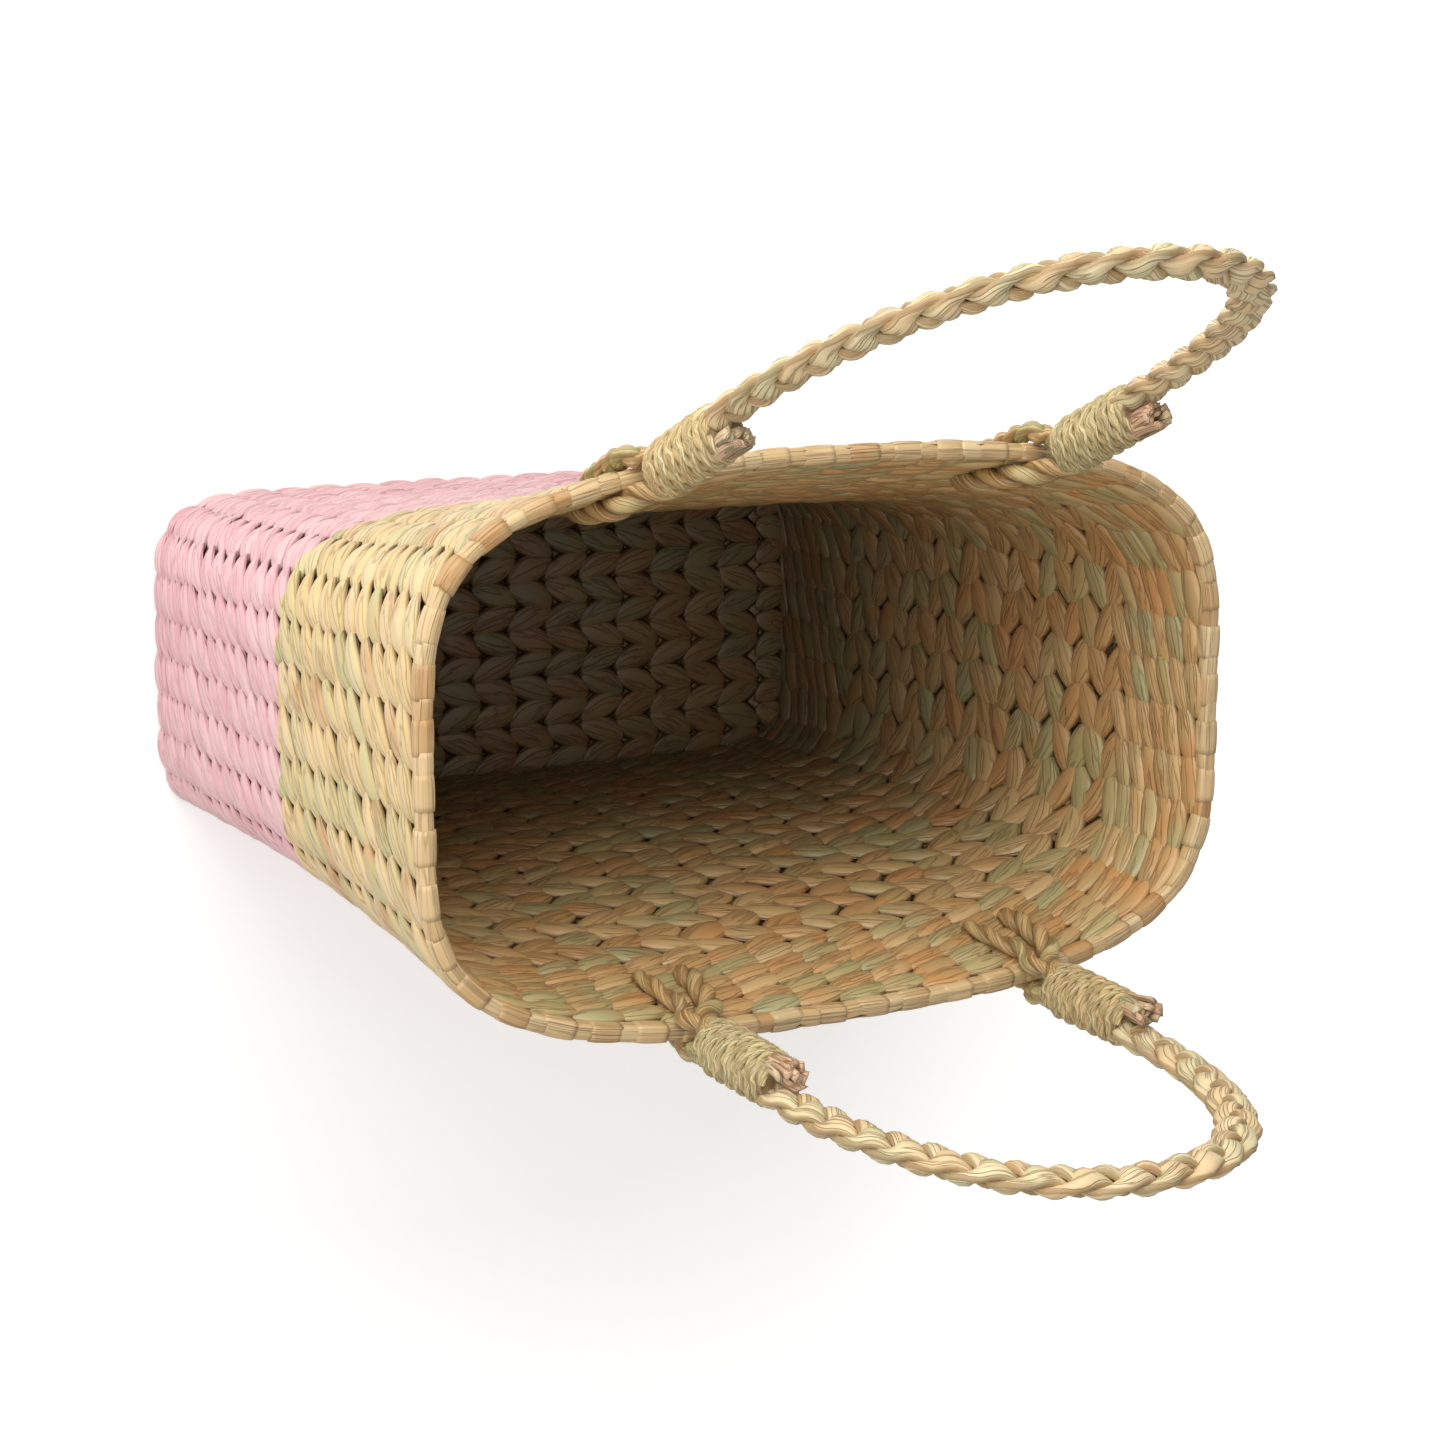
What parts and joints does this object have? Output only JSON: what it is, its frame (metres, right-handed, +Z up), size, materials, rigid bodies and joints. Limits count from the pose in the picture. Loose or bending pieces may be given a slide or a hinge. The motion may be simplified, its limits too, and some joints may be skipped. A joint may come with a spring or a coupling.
{
  "type": "woven market basket",
  "caption": "Oblong twined reed basket, flared to a bowed rim, lower part dyed, with braided arch handles lashed on astride the rim.",
  "frame": {"origin": "middle of the underside of the base, on the surface that the basket stands on", "axes": "+Z up through the opening, +X along the long side, the front handle (the one that leans further out) on -Y"},
  "size_m": [0.3552, 0.3124, 0.4944],
  "materials": {
    "natural_reed": "dry straw-coloured reed with a faint natural gloss",
    "dyed_reed": "matt pink paint over woven reed",
    "stake_reed": "dry round reed, darker tan",
    "border_reed": "dry reed, wrapped and pressed",
    "braid_reed": "dry flat braided reed with a faint gloss",
    "whipping_cord": "twisted sedge cord, matt",
    "cut_reed": "dry cut reed ends, matt"
  },
  "bodies": {
    "basket": {"base_stakes": "stake_reed", "base_weave": "dyed_reed", "stakes": "stake_reed", "foot_courses": "dyed_reed", "dyed_courses": "dyed_reed", "natural_courses": "natural_reed", "top_courses": "natural_reed", "rim_border": "border_reed", "front_left_outer_leg": "braid_reed", "front_right_outer_leg": "braid_reed", "back_left_outer_leg": "braid_reed", "back_right_outer_leg": "braid_reed", "front_left_inner_legs": "braid_reed", "front_right_inner_legs": "braid_reed", "back_left_inner_legs": "braid_reed", "back_right_inner_legs": "braid_reed"},
    "front_handle": {"front_handle_braid": "braid_reed", "front_left_whipping": "whipping_cord", "front_right_whipping": "whipping_cord", "front_left_tail": "cut_reed", "front_right_tail": "cut_reed"},
    "back_handle": {"back_handle_braid": "braid_reed", "back_left_whipping": "whipping_cord", "back_right_whipping": "whipping_cord", "back_left_tail": "cut_reed", "back_right_tail": "cut_reed"}
  },
  "joints": [
    {"name": "front_handle_swing", "type": "hinge", "parent": "basket", "child": "front_handle", "pos_m": [0, -0.1025, 0.312], "axis": [1, 0, 0], "range_deg": [-54, 37]},
    {"name": "back_handle_swing", "type": "hinge", "parent": "basket", "child": "back_handle", "pos_m": [0, 0.1036, 0.312], "axis": [-1, 0, 0], "range_deg": [-38, 56]}
  ]
}
